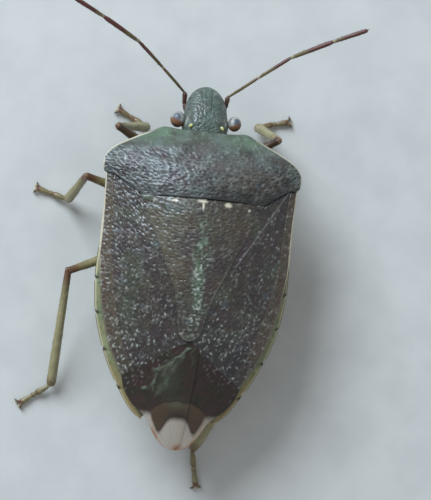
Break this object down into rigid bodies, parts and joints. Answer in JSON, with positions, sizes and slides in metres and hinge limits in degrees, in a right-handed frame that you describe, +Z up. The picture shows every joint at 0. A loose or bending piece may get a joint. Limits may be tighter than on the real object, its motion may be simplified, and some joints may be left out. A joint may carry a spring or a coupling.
{
  "type": "shield bug",
  "caption": "Life-size still model of a green shield bug in its brown winter colour, standing on its feet with wings folded and feelers spread.",
  "frame": {"origin": "middle of the floor under the whole bug, feelers and feet included", "axes": "+Y from the tail to the head, +X to the bug's own right, +Z up from the floor it stands on"},
  "size_m": [0.0124, 0.0194, 0.0053],
  "materials": {
    "head_shell": "dull green-grey shell, finely pitted",
    "back_shell": "dark brown-green shell, coarsely pitted, half gloss",
    "wing_shell": "dark purple-brown leathery wing, pitted, half gloss",
    "wing_film": "thin smoky wing membrane with brown veins",
    "belly_shell": "yellow-green shell, smooth, half gloss",
    "tip_shell": "dark brown shell",
    "limb_shell": "olive-green limbs with brown joints, half gloss",
    "feeler_shell": "olive feelers with dark red ends to the outer joints",
    "eye": "grey-blue faceted eye with an orange-brown lower rim"
  },
  "bodies": {
    "root": {"head": "head_shell", "rostrum": "limb_shell", "pronotum": "back_shell", "scutellum": "back_shell", "thorax": "belly_shell", "abdomen": "belly_shell", "abdomen_tip": "tip_shell", "eye_left": "eye", "eye_right": "eye", "antenna_left": "feeler_shell", "antenna_right": "feeler_shell", "corium_left": "wing_shell", "corium_right": "wing_shell", "membrane_left": "wing_film", "membrane_right": "wing_film", "femur_front_left": "limb_shell", "femur_front_right": "limb_shell", "femur_middle_left": "limb_shell", "femur_middle_right": "limb_shell", "femur_hind_left": "limb_shell", "femur_hind_right": "limb_shell", "tibia_front_left": "limb_shell", "tibia_front_right": "limb_shell", "tibia_middle_left": "limb_shell", "tibia_middle_right": "limb_shell", "tibia_hind_left": "limb_shell", "tibia_hind_right": "limb_shell", "tarsus_front_left": "limb_shell", "tarsus_front_right": "limb_shell", "tarsus_middle_left": "limb_shell", "tarsus_middle_right": "limb_shell", "tarsus_hind_left": "limb_shell", "tarsus_hind_right": "limb_shell"}
  },
  "joints": []
}
